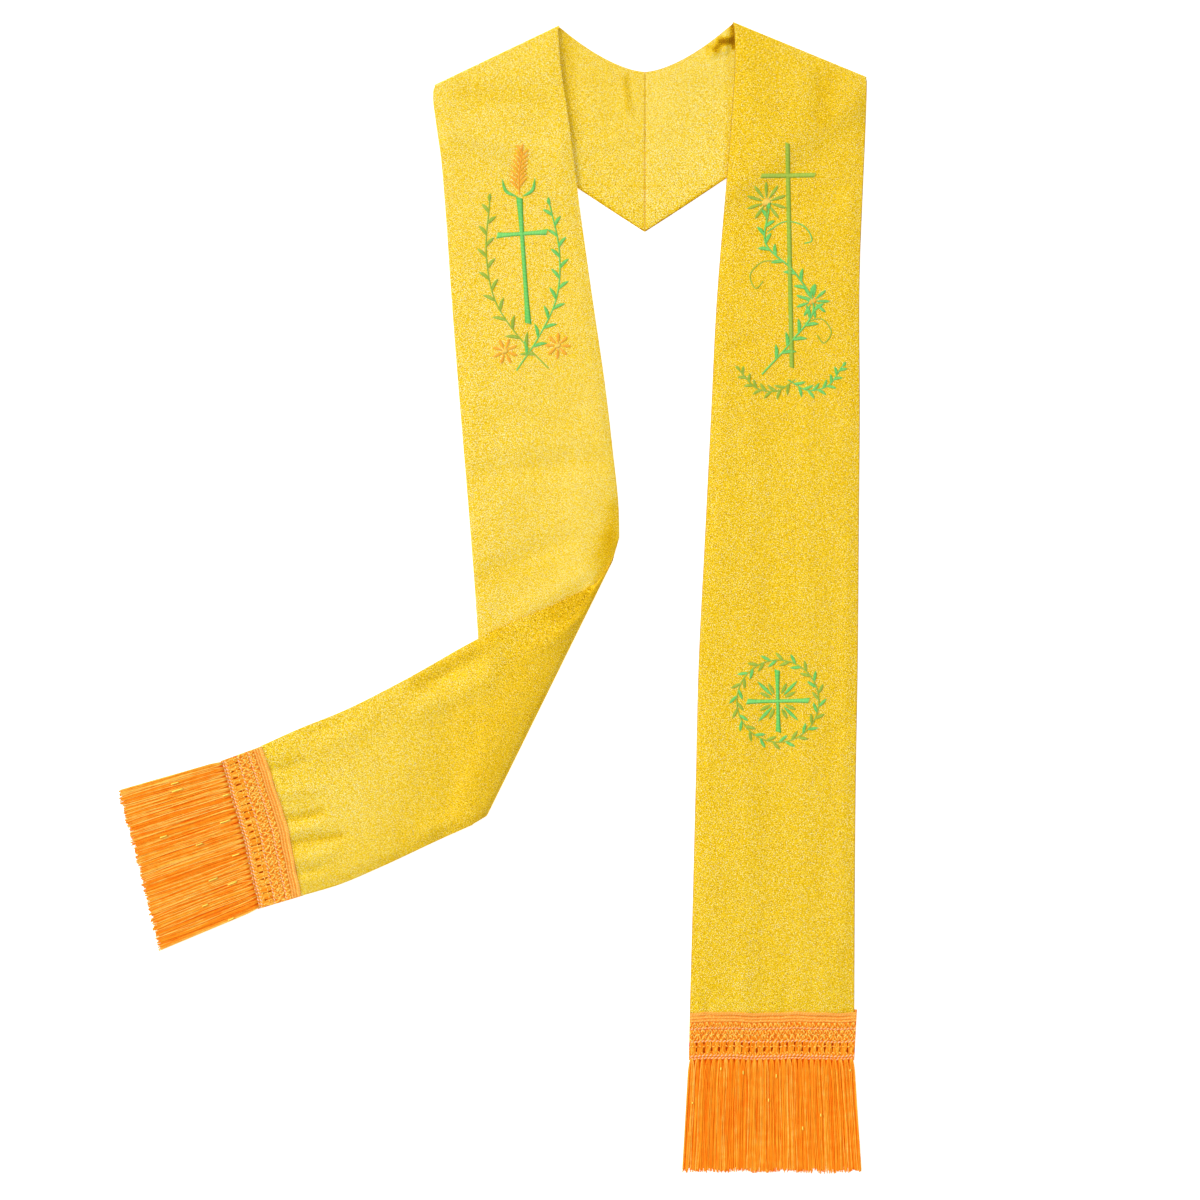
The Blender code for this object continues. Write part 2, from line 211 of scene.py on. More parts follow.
def smooth(x):
    x = np.clip(x, 0.0, 1.0)
    return x * x * (3.0 - 2.0 * x)


def to_world(points, side):
    """Millimetres (out, down, height) to metres in the frame."""
    points = np.asarray(points, float)
    x = SEAM_X + side * points[..., 0]
    y = NECK_Y - points[..., 1]
    return np.stack([x, y, points[..., 2]], axis=-1) * MM


def curve_value(rows, at):
    """A smooth curve through (place, value) rows."""
    place, value = np.array(rows, float).T
    slope = np.gradient(value, place)
    at = np.clip(np.asarray(at, float), place[0], place[-1])
    i = np.clip(np.searchsorted(place, at) - 1, 0, len(place) - 2)
    span = place[i + 1] - place[i]
    t = (at - place[i]) / span
    start = (1 + 2 * t) * (1 - t) ** 2 * value[i] + t * (1 - t) ** 2 * span * slope[i]
    end = t * t * (3 - 2 * t) * value[i + 1] + t * t * (t - 1) * span * slope[i + 1]
    return start + end


def curve_point(points, share):
    """The point at this share of the length of a smooth path through the points."""
    points = np.array(points, float)
    steps = np.linalg.norm(np.diff(points, axis=0), axis=1)
    travelled = np.concatenate([[0.0], np.cumsum(steps)])
    at = np.asarray(share) * travelled[-1]
    axes = [curve_value(np.column_stack([travelled, axis]), at) for axis in points.T]
    return np.stack(axes, axis=-1)


def soft_lines(rows, layer, plan):
    """The sum at each place of this layer's soft ridges and troughs."""
    total = np.zeros(len(plan))
    for where, out_a, down_a, out_b, down_b, width, rise in rows:
        if where == layer:
            line = np.array([out_b - out_a, down_b - down_a], float)
            from_start = plan - np.array([out_a, down_a])
            share = np.clip(from_start @ line / (line @ line), 0.0, 1.0)
            away = np.linalg.norm(from_start - share[:, None] * line, axis=1)
            total += rise * np.exp(-((away / width) ** 2))
    return total


def relief(side, layer, plan):
    """Height of the creases above an even surface, with a slight unevenness all over."""
    out, down = plan[:, 0], plan[:, 1]
    height = BROAD_WAVE * np.sin(out / 23.0 + down / 61.0) * np.sin(down / 47.0 - out / 90.0)
    height += SMALL_WAVE * np.sin(out / 11.0 - down / 29.0 + side)
    return height + soft_lines(CREASES[side], layer, plan)


PLACES = np.linspace(0.0, 1.0, COLUMNS)


def across(inner, outer):
    """A straight row of places from the strip's inner edge to its outer edge."""
    share = PLACES[:, None]
    return (1.0 - share) * np.asarray(inner, float) + share * np.asarray(outer, float)


def square_to(inner, outer, towards):
    """The unit vector square to a line, on the side that towards points to."""
    line = np.asarray(outer, float) - np.asarray(inner, float)
    square = np.array([line[1], -line[0]]) / np.linalg.norm(line)
    return square if square @ np.asarray(towards, float) > 0.0 else -square


def lying_height(side, plan):
    """The leg's even height: on the yoke above, and down on the table past its edge."""
    start, end = np.array([0.0, BACK_POINT_DOWN]), np.array(SHOULDER[side][1])
    past = (plan - start) @ square_to(start, end, (1.0, 1.0)) - YOKE_EDGE_BOW
    fall = LAYER_STEP * smooth((past - CLEAR_OF_EDGE) / FALL_WIDTH)
    on_yoke = 1.0 - smooth((past + FADE_INSIDE) / YOKE_FADE)
    return UPPER_LAYER - fall + np.maximum(relief(side, "yoke", plan), 0.0) * on_yoke


def cloth_row(plan, base, side, layer):
    """One row across the strip: its points and the painted shade of its cloth."""
    width = np.linalg.norm(plan[-1] - plan[0])
    soft = smooth(width * np.minimum(PLACES, 1.0 - PLACES) / EDGE_SOFTNESS)
    rise = relief(side, layer, plan)
    creased = CREASE_AT_EDGE + (1.0 - CREASE_AT_EDGE) * soft
    height = np.maximum(base + soft * PUFF[layer] + creased * rise, CLOTH / 2 + TABLE_GAP)
    shade = SHADE[side, layer] + soft_lines(PAINTED_SHADE_LINES[side], layer, plan)
    return np.column_stack([plan, height]), shade + SHADE_OF_RELIEF * rise


def yoke_rows(side, fold_inner, fold_outer):
    """Rows from the back seam to the shoulder, between the neck's curve and the back edge."""
    rows = []
    start = SEAM_GAP / 2
    for share in np.linspace(0.0, 1.0, round(fold_outer[0] / ROW_STEP) + 1):
        neck_down = NECK_DEPTH + (fold_inner[1] - NECK_DEPTH) * share**NECK_POWER
        inner = (start + share * (fold_inner[0] - start), neck_down)
        outer = (1 - share) * np.array([start, BACK_POINT_DOWN]) + share * fold_outer
        outer[1] += YOKE_EDGE_BOW * 4.0 * share * (1.0 - share)
        points, shade = cloth_row(across(inner, outer), FLOOR_LAYER, side, "yoke")
        pressed = smooth((share - 1.0 + PRESSED_SHARE) / PRESSED_SHARE)
        points[:, 2] += (FLOOR_LAYER - points[:, 2]) * pressed
        rows.append((points, shade))
    return rows


def pressed_fold_rows(side, centre_inner, centre_outer, square):
    """Rows round the shoulder's half turn, from the layer below to the layer above."""
    rows = []
    for angle in np.linspace(0.0, math.pi, PRESSED_ROWS)[1:]:
        plan = across(centre_inner, centre_outer) + PRESSED_RADIUS * math.sin(angle) * square
        height = FLOOR_LAYER + PRESSED_RADIUS * (1.0 - math.cos(angle))
        over = angle / math.pi
        shade = (1 - over) * SHADE[side, "yoke"] + over * SHADE[side, "leg"]
        rows.append((np.column_stack([plan, np.full(COLUMNS, height)]),
                     np.full(COLUMNS, shade)))
    return rows


def leg_rows(side, starts, ends, end_plan):
    """Rows down the leg, slanted at first as the shoulder is, then as its lower end is."""
    rows = []
    knots = ((starts[0], starts[1]), (LEVEL_DOWN, LEVEL_DOWN), ends)
    for part in range(2):
        (inner_a, outer_a), (inner_b, outer_b) = knots[part], knots[part + 1]
        count = round((outer_b - outer_a) / ROW_STEP)
        for share in np.linspace(0.0, 1.0, count + 1)[1:]:
            inner_down = inner_a + share * (inner_b - inner_a)
            outer_down = outer_a + share * (outer_b - outer_a)
            inner = (curve_value(INNER_EDGE[side], inner_down), inner_down)
            outer = (curve_value(OUTER_EDGE[side], outer_down), outer_down)
            plan = across(inner, outer)
            to_end = (ends[0] - inner_down) / BLEND_LENGTH
            if end_plan is not None and to_end < 1.0:
                straight_end = across(end_plan[0], end_plan[-1])
                plan = plan + smooth(1.0 - to_end) * (end_plan - straight_end)
            points, shade = cloth_row(plan, lying_height(side, plan), side, "leg")
            if part == 0:
                lifted = smooth(share * count / LIFT_ROWS)
                points[:, 2] = UPPER_LAYER + (points[:, 2] - UPPER_LAYER) * lifted
            rows.append((points, shade))
    return rows


def roll_row(share):
    """Places and rises at this share of the way round the roll, from the leg's side."""
    inner, outer = np.array(FOLD_INNER), np.array(FOLD_OUTER)
    line = (outer - inner) / np.linalg.norm(outer - inner)
    square = square_to(inner, outer, (-1.0, 0.1))
    sizes = zip(curve_value(ROLL_REACH, PLACES), curve_value(ROLL_HEIGHT, PLACES))
    profile = np.array([curve_point(np.array(ROLL_PROFILE) * size, share) for size in sizes])
    before, after = curve_value(SLIDE_BEFORE, PLACES), curve_value(SLIDE_AFTER, PLACES)
    slide = -before + (before + after) * share
    aside = profile[:, :1] - CLOTH / 2
    return across(inner, outer) + slide[:, None] * line + aside * square, profile[:, 1]


def roll_rows(leg_end, leg_shade):
    """Rows round the roll, each standing on the leg's last row."""
    rows = []
    for share in np.linspace(0.0, 1.0, ROLL_ROWS)[1:]:
        plan, rise = roll_row(share)
        over = smooth(share / SHADED_FROM)
        # Painted shade: round the roll the leg's painted shade passes into the turned end's
        # deeper one.
        turned_shade = (SHADE[LEFT, "turned"] + TURN_SHADE
                        + soft_lines(PAINTED_SHADE_LINES[LEFT], "turned", plan))
        shade = (1.0 - over) * leg_shade + over * turned_shade
        rows.append((np.column_stack([plan, leg_end[:, 2] + rise]), shade))
    return rows


def turned_rows(roll_end):
    """Rows from the roll to the left hem, over the leg and then down on the table."""
    rows = []
    roll_end_plan, roll_height = roll_end[:, :2], roll_end[:, 2]
    bulge = roll_end_plan - across(roll_end_plan[0], roll_end_plan[-1])
    count = round(TURNED_LENGTH / ROW_STEP)
    for share in np.linspace(0.0, 1.0, count + 1)[1:]:
        plan = across(curve_point(TURNED_TOP, share), curve_point(TURNED_FOOT, share))
        from_roll = np.linalg.norm(plan - roll_end_plan, axis=1)
        plan = plan + (1.0 - smooth(share * TURNED_LENGTH / BLEND_LENGTH)) * bulge
        past = plan[:, 0] - curve_value(OUTER_EDGE[LEFT], plan[:, 1])
        on_leg = 1.0 - smooth((past + FADE_INSIDE) / LEG_FADE)
        below = PUFF["leg"] + np.maximum(relief(LEFT, "leg", plan), 0.0)
        fall = LAYER_STEP * smooth((past - CLEAR_OF_EDGE) / FALL_WIDTH)
        base = UPPER_LAYER - fall + below * on_leg
        points, shade = cloth_row(plan, base, LEFT, "turned")
        settled = smooth(share * TURNED_LENGTH / SETTLE_WIDTH)
        points[:, 2] += (roll_height - points[:, 2]) * (1.0 - settled)
        to_hem = (1.0 - share) * from_roll / share
        bow = HEM_BOW * (1.0 - smooth(to_hem / HEM_BOW_LENGTH))
        points[:, 0] -= bow * 4.0 * PLACES * (1.0 - PLACES)
        # Painted shade: the turned cloth is painted deeper near the roll.
        shade = shade + TURN_SHADE * (1.0 - smooth(from_roll / TURN_SHADE_LENGTH))
        rows.append((points, shade))
    return rows


def half_rows(side):
    """All rows of one half, from the back seam to its hem."""
    inner, outer = (np.array(end) for end in SHOULDER[side])
    square = square_to(inner, outer, (0.1, -1.0))
    inset = (PRESSED_RADIUS + FOLD_INSET) * square
    centre_inner, centre_outer = inner - inset, outer - inset
    rows = yoke_rows(side, centre_inner, centre_outer)
    rows += pressed_fold_rows(side, centre_inner, centre_outer, square)
    starts = (centre_inner[1], centre_outer[1])
    if side == RIGHT:
        return rows + leg_rows(side, starts, (HEM_DOWN, HEM_DOWN), None)
    roll_start = roll_row(0.0)[0]
    rows += leg_rows(side, starts, (roll_start[0, 1], roll_start[-1, 1]), roll_start)
    rows += roll_rows(*rows[-1])
    return rows + turned_rows(rows[-1][0])


def linear(hex_colour):
    """An sRGB hex colour as a scene-linear RGBA value."""
    parts = [int(hex_colour[i : i + 2], 16) / 255 for i in (1, 3, 5)]
    return (*(c / 12.92 if c <= 0.04045 else ((c + 0.055) / 1.055) ** 2.4 for c in parts), 1.0)


def add_node(tree, kind, inputs=None, stops=(), feeds=None, **settings):
    """A node with its settings made, its sockets set or linked and its colours placed."""
    node = tree.nodes.new(kind)
    if feeds is not None:
        tree.links.new(node.outputs[0], feeds)
    for name, value in settings.items():
        setattr(node, name, value)
    for socket, value in (inputs or {}).items():
        if isinstance(value, bpy.types.NodeSocket):
            tree.links.new(value, node.inputs[socket])
        else:
            node.inputs[socket].default_value = value
    for k, (place, colour) in enumerate(stops):
        if k > 1:
            node.color_ramp.elements.new(1.0)
        node.color_ramp.elements[k].position = place
        node.color_ramp.elements[k].color = linear(colour)
    return node


def new_material(name, **shader_values):
    """A material, its node tree and its shader, with the shader's own sockets set."""
    made = bpy.data.materials.new(name)
    made.use_nodes = True
    shader = made.node_tree.nodes["Principled BSDF"]
    for socket, value in shader_values.items():
        shader.inputs[socket.replace("_", " ")].default_value = value
    return made, made.node_tree, shader


# The real threads lie about 0.3 mm apart, too fine to show at a millimetre a pixel, so the
# grain is drawn at more than twice that, with cells of painted glint and broad faint clouds.
GLINTS_TO_GRAIN, CLOUDS_PER_M = 1.3, 26.0
CLOUD_SHARE, GLINT_SHARE, GRAIN_SHARE, MEAN_LEVEL = 0.05, 0.55, 1.1, 0.3


def woven_lame(name, grain_mm, roughness, stops):
    """Flat metallic thread shows as a fine even grain of painted pale glints on deep gold."""
    look, tree, shader = new_material(
        name, Roughness=roughness, Metallic=0.2, Specular_IOR_Level=0.25,
        Specular_Tint=linear("#FFD250"))
    place = add_node(tree, "ShaderNodeUVMap", uv_map="cloth").outputs["UV"]
    scale = 1 / (grain_mm * MM)
    grain = add_node(
        tree, "ShaderNodeTexNoise", {"Vector": place, "Scale": scale, "Detail": 0.0},
        noise_dimensions="2D").outputs["Fac"]
    cells = add_node(
        tree, "ShaderNodeTexVoronoi", {"Vector": place, "Scale": GLINTS_TO_GRAIN * scale},
        voronoi_dimensions="2D")
    glint = add_node(
        tree, "ShaderNodeSeparateColor", {"Color": cells.outputs["Color"]}).outputs["Red"]
    cloud = add_node(
        tree, "ShaderNodeTexNoise", {"Vector": place, "Scale": CLOUDS_PER_M, "Detail": 3.0},
        noise_dimensions="2D").outputs["Fac"]
    # The painted shade of each place sets how deep or pale its gold is.
    lightness = add_node(tree, "ShaderNodeAttribute", attribute_name="shade").outputs["Fac"]
    for source, share in ((cloud, CLOUD_SHARE), (glint, GLINT_SHARE), (grain, GRAIN_SHARE)):
        lightness = add_node(
            tree, "ShaderNodeMath", {0: source, 1: share, 2: lightness},
            operation="MULTIPLY_ADD").outputs["Value"]
    centred = add_node(
        tree, "ShaderNodeMath", {0: lightness, 1: MEAN_LEVEL}, operation="SUBTRACT")
    add_node(tree, "ShaderNodeValToRGB", {"Fac": centred.outputs["Value"]}, stops=stops,
             feeds=shader.inputs["Base Color"])
    add_node(tree, "ShaderNodeBump", {"Height": grain, "Strength": 0.2, "Distance": 0.2 * MM},
             feeds=shader.inputs["Normal"])
    return look


# Both sides of the cloth show and shine alike, the back a touch deeper between its glints.
# Its edges are painted brown-gold, a painted shade for rims turned from the light.
lame_face = woven_lame("gold_lame_face", 0.74, 0.45, (
    (0.0, "#A87006"), (0.14, "#CE940A"), (0.3, "#EAB60C"), (0.45, "#F4C812"),
    (0.6, "#F9D51C"), (0.71, "#FBDF30"), (0.8, "#FEEC6A"), (0.92, "#FFFED8")))
lame_back = woven_lame("gold_lame_back", 0.72, 0.48, (
    (0.0, "#8E5C04"), (0.14, "#C48A06"), (0.3, "#E7B00A"), (0.45, "#F3C512"),
    (0.6, "#F9D61E"), (0.73, "#FCE038"), (0.83, "#FEEE74"), (0.95, "#FFFED4")))
lame_edge_painted_shade = woven_lame("gold_lame_edge", 1.15, 0.6, (
    (0.0, "#7A4E06"), (0.5, "#AC7C10"), (0.7, "#C6941C"), (1.0, "#DEB038")))


def piece_from(name, shape, looks, modifiers=()):
    """A finished piece from a bmesh, smooth, with its modifiers by type and settings."""
    mesh = bpy.data.meshes.new(name)
    shape.to_mesh(mesh)
    shape.free()
    for look in looks:
        mesh.materials.append(look)
    mesh.polygons.foreach_set("use_smooth", np.full(len(mesh.polygons), True))
    piece = bpy.data.objects.new(name, mesh)
    bpy.context.scene.collection.objects.link(piece)
    for kind, settings in modifiers:
        modifier = piece.modifiers.new(kind.lower(), kind)
        for setting, value in settings.items():
            setattr(modifier, setting, value)
    return piece


def attach(piece, slot, *nodes):
    """Rides the piece on the stole and hides the solids it stands for; the slot is not used."""
    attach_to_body(piece, "root")
    if nodes:
        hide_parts(*nodes)


def both_sides(make, slot, *solid):
    """The right and the left piece of one kind, attached, each for its side's solid."""
    made = {side: make(side) for side in (RIGHT, LEFT)}
    for side, piece in made.items():
        attach(piece, slot, *(WORD[side] + name for name in solid))
    return made


def cloth_half(side):
    """The half's grid of cloth, given its thickness and rounded edges by modifiers."""
    rows = half_rows(side)
    middles = np.array([points[COLUMNS // 2] for points, _ in rows])
    steps = np.linalg.norm(np.diff(middles, axis=0), axis=1)
    travelled = np.concatenate([[0.0], np.cumsum(steps)])
    shape = bmesh.new()
    shade_layer = shape.verts.layers.float.new("shade")
    flat_layer = shape.loops.layers.uv.new("cloth")
    bmesh.ops.create_grid(shape, x_segments=COLUMNS - 1, y_segments=len(rows) - 1, size=1.0)
    flat = []
    for k, vert in enumerate(shape.verts):
        row, column = divmod(k, COLUMNS)
        points, shade = rows[row]
        vert.co = to_world(points[column], side)
        vert[shade_layer] = shade[column]
        width = np.linalg.norm(points[-1] - points[0])
        flat.append((PLACES[column] * width * MM, travelled[row] * MM))
    shape.verts.index_update()
    for face in shape.faces:
        for loop in face.loops:
            loop[flat_layer].uv = flat[loop.vert.index]
    if side == LEFT:
        bmesh.ops.reverse_faces(shape, faces=shape.faces)
    # The rims and bevels take the edge material's painted shade.
    thick = {"thickness": CLOTH * MM, "offset": 0.0,
             "material_offset": 1, "material_offset_rim": 2}
    rounded = {"width": 0.5 * MM, "segments": 2, "limit_method": "ANGLE",
               "angle_limit": math.radians(60.0), "material": 2}
    return piece_from(WORD[side] + "_cloth", shape, [lame_back, lame_face, lame_edge_painted_shade],
                      [("SOLIDIFY", thick), ("BEVEL", rounded)])


cloths = both_sides(cloth_half, "gold_lame", "_half")

# The braid at each end is bought trim, sewn on flat: a ribbed polyester band, looped rows
# and an open ladder, made of orange yarn with pinkish chains between them.
BRAID = {
    RIGHT: ((45.0, 991.3), (212.0, 991.3), (44.0, 1038.0), (209.5, 1038.0)),
    LEFT: ((384.6, 724.6), (345.0, 874.6), (424.0, 739.0), (386.5, 887.0)),
}
BRAID_BOW = {RIGHT: 0.0, LEFT: HEM_BOW}
BRAID_DEPTH = 46.7
BRAID_LIGHTER = {RIGHT: 0.0, LEFT: 0.12}
TUCKED_UNDER, TAPE_COLUMN, TAPE_ROW, TAPE_THICKNESS = 4.0, 0.8, 0.55, 0.6
RIB_BAND, LADDER_BAND = (0.3, 8.6), (29.6, 41.4)
RIB_PITCH, WEFT_PITCH, KNOT_PITCH = 2.9, 1.9, 3.0
RIB_RISE, WEFT_RISE, KNOT_RISE = 0.5, 0.08, 0.25
RIB_HEIGHT, KNOT_HEIGHT, CORE_HEIGHT, TUCKED_HEIGHT = 1.65, 1.35, 0.85, 0.95
CHAIN_HEIGHT, LOOP_HEIGHT, LOOP_YARN, YARN_STEP, END_CLEAR = 1.95, 2.0, 1.15, 0.6, 0.4
LADDER_BARS, WRAPS, WRAP_STEP, WRAP_YARN, WRAP_HEIGHT = 22, 5, 1.24, 1.6, 1.7

# Rows on the ground, from the cloth down: chains as (depth, radius, pitch), of which the
# first two lap over the cloth's end, and looped rows as (from, to, yarns, pitch).
LAPPED, LAP_HEIGHT, PLAIN_CHAINS = 2, 0.1, 4
CHAINS = ((-0.4, 0.5, 2.8), (0.9, 0.5, 2.6), (4.6, 0.4, 3.0), (7.5, 0.5, 3.2),
          (14.9, 0.55, 3.4), (27.9, 0.6, 3.6), (42.2, 0.7, 3.8), (44.9, 0.6, 3.5))
LOOPED = ((8.9, 14.0, 4, 4.4), (16.0, 21.4, 4, 5.0), (21.0, 26.9, 4, 5.6),
          (32.0, 33.4, 2, 7.6), (37.8, 41.2, 3, 4.8))


def braid_plan(side, share, depth_mm):
    """Places on the braid by share of its width and depth below the cloth's end."""
    share, depth = np.broadcast_arrays(share, np.asarray(depth_mm, float) / BRAID_DEPTH)
    corners = np.array(BRAID[side])
    inner = (1 - depth)[..., None] * corners[0] + depth[..., None] * corners[2]
    outer = (1 - depth)[..., None] * corners[1] + depth[..., None] * corners[3]
    plan = (1 - share)[..., None] * inner + share[..., None] * outer
    plan[..., 0] -= BRAID_BOW[side] * 4.0 * share * (1.0 - share) * (1.0 - 0.6 * depth)
    return plan


def braid_path(side, share, depth_mm, height):
    """Places on the braid with their heights."""
    share, depth_mm, height = np.broadcast_arrays(share, depth_mm, height)
    return np.concatenate([braid_plan(side, share, depth_mm), height[..., None]], axis=-1)


def ground_tree(piece):
    """The finished surface of a piece, for laying things on it."""
    return BVHTree.FromObject(piece, bpy.context.evaluated_depsgraph_get())


def ground_height(tree, x, y, otherwise):
    """The height of that surface at a place, or the given one where it has no surface."""
    hit = tree.ray_cast(Vector((x, y, 0.1)), Vector((0.0, 0.0, -1.0)))[0]
    return hit.z if hit is not None else otherwise


# Yarns are translucent and pass light on to each other, which a faint glow stands for. The
# twist is drawn with a turn about every 2 mm, coarser than the real one, so that it shows.
YARN_GLOW, TWISTS_SCALE, PATCH_SHARE = 0.045, 310.0, 0.42


def shiny_yarn(name, stops, roughness=0.6, patches_per_m=450.0):
    """Polyester yarn: each strand has its own depth of dye, and a fine twist."""
    look, tree, shader = new_material(
        name, Roughness=roughness, Specular_IOR_Level=0.25, Specular_Tint=linear("#FFB060"),
        Emission_Color=linear("#FF7A18"), Emission_Strength=YARN_GLOW)
    place = add_node(tree, "ShaderNodeTexCoord").outputs["Object"]
    strand = add_node(tree, "ShaderNodeAttribute", attribute_name="strand").outputs["Fac"]
    grain = add_node(
        tree, "ShaderNodeTexNoise", {"Vector": place, "Scale": patches_per_m, "Detail": 3.0})
    mixed = add_node(
        tree, "ShaderNodeMix", {"Factor": PATCH_SHARE, "A": strand, "B": grain.outputs["Fac"]},
        data_type="FLOAT")
    add_node(tree, "ShaderNodeValToRGB", {"Fac": mixed.outputs["Result"]}, stops=stops,
             feeds=shader.inputs["Base Color"])
    twist = add_node(
        tree, "ShaderNodeTexWave", {"Vector": place, "Scale": TWISTS_SCALE, "Distortion": 0.6},
        bands_direction="DIAGONAL")
    add_node(tree, "ShaderNodeBump",
             {"Height": twist.outputs["Fac"], "Strength": 0.4, "Distance": 0.15 * MM},
             feeds=shader.inputs["Normal"])
    return look


rib_yarn = shiny_yarn("orange_rib_yarn", (
    (0.1, "#EC781E"), (0.35, "#FA9C38"), (0.6, "#FFB850"), (0.9, "#FFD67C")))
loop_yarn = shiny_yarn("orange_loop_yarn", (
    (0.2, "#E05806"), (0.38, "#FA8C16"), (0.58, "#FFB030"), (0.8, "#FFE070")))
chain_yarn = shiny_yarn("pinkish_chain_yarn", (
    (0.15, "#F08038"), (0.45, "#FFAA68"), (0.8, "#FFD4A6")))
# The ladder's core is painted dark red-orange, a painted shade for the slots between its bars.
shaded_core = shiny_yarn("shaded_braid_core", (
    (0.1, "#B83A04"), (0.5, "#DC5A08"), (0.9, "#F07C16")))


def yarns(name, paths, thickness, looks, tones, slots=None):
    """Round yarns along paths in metres, joined in one mesh, each closed at its ends."""
    curve = bpy.data.curves.new(name, "CURVE")
    curve.dimensions = "3D"
    curve.bevel_depth = 1.0
    curve.bevel_resolution = 1
    curve.use_fill_caps = True
    for look in looks:
        curve.materials.append(look)
    sizes = np.broadcast_to(thickness, len(paths))
    for k, path in enumerate(paths):
        spline = curve.splines.new("POLY")
        spline.points.add(len(path) - 1)
        spline.points.foreach_set("co", np.column_stack([path, np.ones(len(path))]).ravel())
        spline.points.foreach_set("radius", np.full(len(path), sizes[k] / 2 * MM))
        spline.material_index = 0 if slots is None else slots[k]
    bent = bpy.data.objects.new(name, curve)
    shape = bmesh.new()
    shape.from_mesh(bpy.data.meshes.new_from_object(bent))
    bpy.data.objects.remove(bent)
    ring = 2 * (curve.bevel_resolution + 2)
    lengths = [len(path) * ring for path in paths]
    values = np.concatenate([np.repeat(tones[::-1], 2 * ring), np.repeat(tones, lengths)])
    layer = shape.verts.layers.float.new("strand")
    for vert, value in zip(shape.verts, values):
        vert[layer] = value
    bmesh.ops.remove_doubles(shape, verts=shape.verts, dist=0.001 * MM)
    return piece_from(name, shape, looks)


def row_wave(side, travel):
    """How far the braid's rows wander from straight lines, in millimetres."""
    return 0.55 * np.sin(travel / 12.0 + 2.0 * side) + 0.25 * np.sin(travel / 4.7 + side)


def braid_tape(side):
    """The braid's ground: ribs above, a woven middle and the ladder's sunken core in painted
    shade.
    """
    width = np.linalg.norm(np.subtract(BRAID[side][1], BRAID[side][0]))
    columns, rows = round(width / TAPE_COLUMN), round(BRAID_DEPTH / TAPE_ROW)
    wander = np.random.default_rng(21 + side)
    shape = bmesh.new()
    layer = shape.verts.layers.float.new("strand")
    bmesh.ops.create_grid(shape, x_segments=columns, y_segments=rows, size=0.5)
    start = np.array([vert.co[:2] for vert in shape.verts]) + 0.5
    share, depth = start[:, 0], start[:, 1] * (BRAID_DEPTH + TUCKED_UNDER) - TUCKED_UNDER
    u = share * width
    ribs = RIB_RISE * np.sin(math.pi * (depth - row_wave(side, u)) / RIB_PITCH) ** 2
    ribs += WEFT_RISE * np.sin(2 * math.pi * (u / WEFT_PITCH + depth / RIB_PITCH))
    knot_turn = 2 * math.pi / KNOT_PITCH
    knots = KNOT_RISE * np.sin(knot_turn * u) * np.sin(knot_turn * depth)
    in_ribs = (depth > RIB_BAND[0]) & (depth < RIB_BAND[1])
    in_ladder = (depth > LADDER_BAND[0] - 1.0) & (depth < LADDER_BAND[1] + 1.0)
    height = np.where(in_ladder, CORE_HEIGHT, KNOT_HEIGHT + knots)
    height = np.where(in_ribs, RIB_HEIGHT + ribs, height)
    edge = np.minimum(np.minimum(u, width - u), BRAID_DEPTH - depth)
    height *= 0.7 + 0.3 * smooth(edge / 1.0)
    height = np.where(depth < RIB_BAND[0], TUCKED_HEIGHT, height)
    places = to_world(braid_path(side, share, depth, height), side)
    tones = 0.1 + 0.3 * wander.standard_normal(len(places))
    # The ribbed band is drawn paler, and its crests are painted paler than its grooves, a
    # painted shade by the ribs' height.
    tones = np.where(in_ribs, tones + 0.15 + 1.1 * ribs, tones) + BRAID_LIGHTER[side]
    for vert, place, tone in zip(shape.verts, places, tones):
        vert.co = place
        vert[layer] = tone
    for face in shape.faces:
        face.material_index = int(in_ladder[[vert.index for vert in face.verts]].all())
    bmesh.ops.recalc_face_normals(shape, faces=shape.faces)
    if sum(face.normal.z for face in shape.faces) < 0.0:
        bmesh.ops.reverse_faces(shape, faces=shape.faces)
    thick = {"thickness": TAPE_THICKNESS * MM, "offset": -1.0}
    return piece_from(WORD[side] + "_braid_tape", shape, [rib_yarn, shaded_core],
                      [("SOLIDIFY", thick)])


